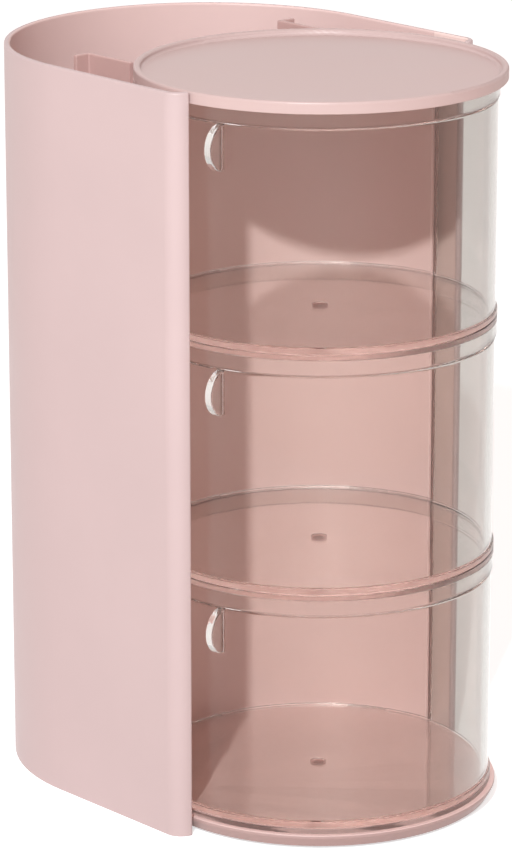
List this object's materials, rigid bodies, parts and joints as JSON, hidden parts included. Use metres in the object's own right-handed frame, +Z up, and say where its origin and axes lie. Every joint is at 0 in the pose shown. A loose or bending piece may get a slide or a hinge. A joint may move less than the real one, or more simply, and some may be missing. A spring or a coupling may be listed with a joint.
{
  "type": "rotating makeup organizer",
  "caption": "Desktop makeup organizer: three clear half-walled trays that turn one above another, a tray lid and a rounded shell with a divided brush pocket behind.",
  "frame": {"origin": "centre of the footprint's bounding box, on the table", "axes": "+Z up, front with the clear trays towards -Y, +X to the right seen from the front"},
  "size_m": [0.1348, 0.1848, 0.25],
  "materials": {
    "pink_plastic": "satin",
    "clear_plastic": "clear, polished",
    "steel": "zinc plated",
    "rubber": "matt"
  },
  "bodies": {
    "frame": {"base": "pink_plastic", "outer_shell": "pink_plastic", "partition": "pink_plastic", "lid": "pink_plastic", "pocket_divider_left": "pink_plastic", "pocket_divider_right": "pink_plastic", "tier_plate_bottom": "clear_plastic", "tier_plate_middle": "clear_plastic", "tier_plate_top": "clear_plastic", "guide_ring_bottom": "clear_plastic", "guide_ring_middle": "clear_plastic", "guide_ring_top": "clear_plastic", "base_screws": "steel", "base_feet": "rubber"},
    "tray_bottom": {"tray_bottom": "clear_plastic"},
    "tray_middle": {"tray_middle": "clear_plastic"},
    "tray_top": {"tray_top": "clear_plastic"}
  },
  "joints": [
    {"name": "tray_bottom_turn", "type": "hinge", "parent": "frame", "child": "tray_bottom", "pos_m": [0, -0.0314, 0], "axis": [0, 0, 1], "range_deg": [-6, 158]},
    {"name": "tray_middle_turn", "type": "hinge", "parent": "frame", "child": "tray_middle", "pos_m": [0, -0.0314, 0], "axis": [0, 0, 1], "range_deg": [-6, 158]},
    {"name": "tray_top_turn", "type": "hinge", "parent": "frame", "child": "tray_top", "pos_m": [0, -0.0314, 0], "axis": [0, 0, 1], "range_deg": [-6, 158]}
  ]
}
